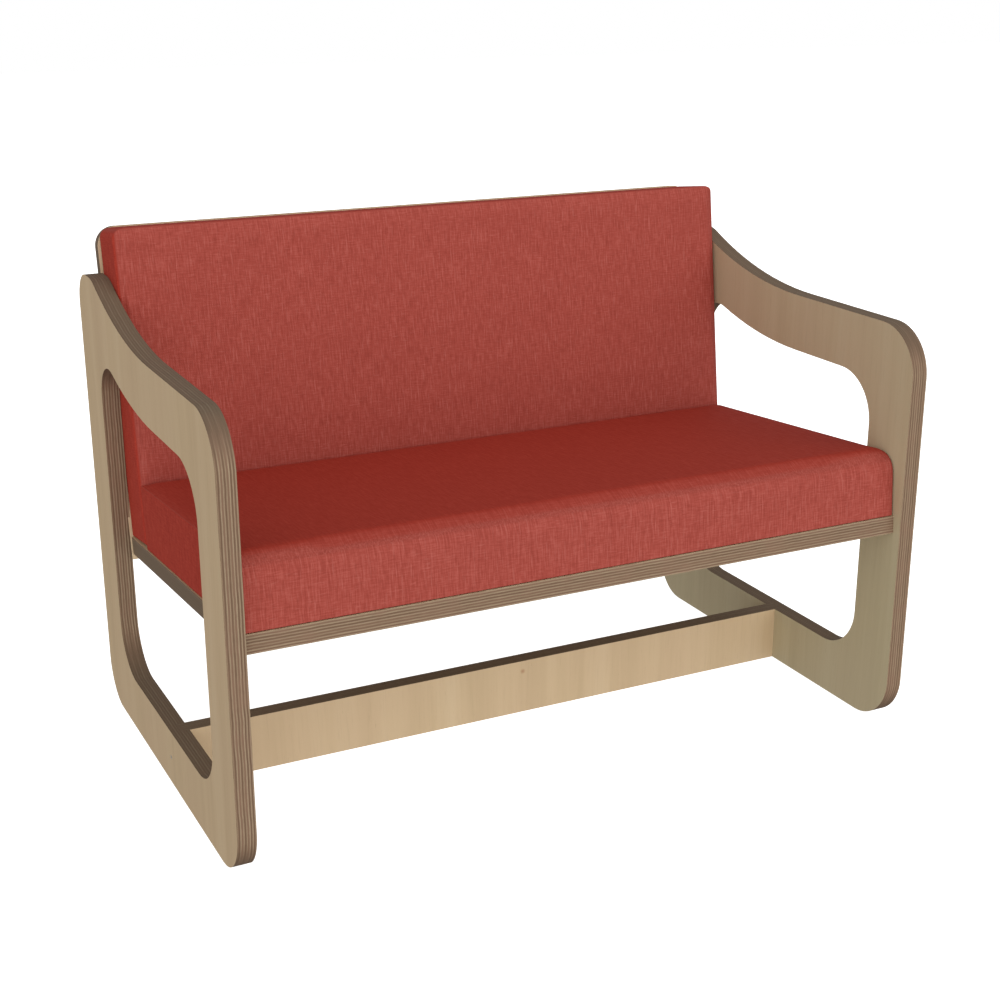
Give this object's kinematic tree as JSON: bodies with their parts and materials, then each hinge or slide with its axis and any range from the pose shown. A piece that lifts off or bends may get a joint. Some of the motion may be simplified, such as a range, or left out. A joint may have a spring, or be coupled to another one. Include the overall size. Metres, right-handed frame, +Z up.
{
  "type": "two-seat settee",
  "caption": "Two-seat settee with closed-loop plywood side frames, a tilted seat board, a reclined back board, a low stretcher and two loose red foam cushions.",
  "frame": {"origin": "on the floor, at the centre of the footprint", "axes": "+X to the right seen from the front, -Y is the front, +Z up"},
  "size_m": [1.09, 0.676, 0.7836],
  "materials": {
    "birch_plywood": "clear-lacquered birch plywood, satin, darker layered edges",
    "red_fabric": "heathered red linen-weave upholstery cloth",
    "foam": "open-cell upholstery foam",
    "zinc_steel": "bright zinc plated",
    "beech_dowel": "plain beech",
    "dark_tape": "dark red woven tape"
  },
  "bodies": {
    "frame": {"side_frame_left": "birch_plywood", "side_frame_right": "birch_plywood", "seat_board": "birch_plywood", "back_board": "birch_plywood", "stretcher": "birch_plywood", "seat_screw_left": "zinc_steel", "seat_screw_right": "zinc_steel", "stretcher_screw_left": "zinc_steel", "stretcher_screw_right": "zinc_steel", "back_to_seat_screws": "zinc_steel", "seat_dowels": "beech_dowel", "back_dowels": "beech_dowel", "seat_hook_strips": "dark_tape", "back_hook_strips": "dark_tape"},
    "seat_cushion": {"seat_cushion_foam": "foam", "seat_cushion_cover": "red_fabric", "seat_zip": "dark_tape", "seat_loop_strips": "dark_tape"},
    "back_cushion": {"back_cushion_foam": "foam", "back_cushion_cover": "red_fabric", "back_zip": "dark_tape", "back_loop_strips": "dark_tape"}
  },
  "joints": [
    {"name": "seat_cushion_lift", "type": "slide", "parent": "frame", "child": "seat_cushion", "axis": [0, 0.0845, 0.9964], "range_m": [0, 0.32]},
    {"name": "back_cushion_lift", "type": "slide", "parent": "frame", "child": "back_cushion", "axis": [0, 0.1331, 0.9911], "range_m": [0, 0.5]}
  ]
}
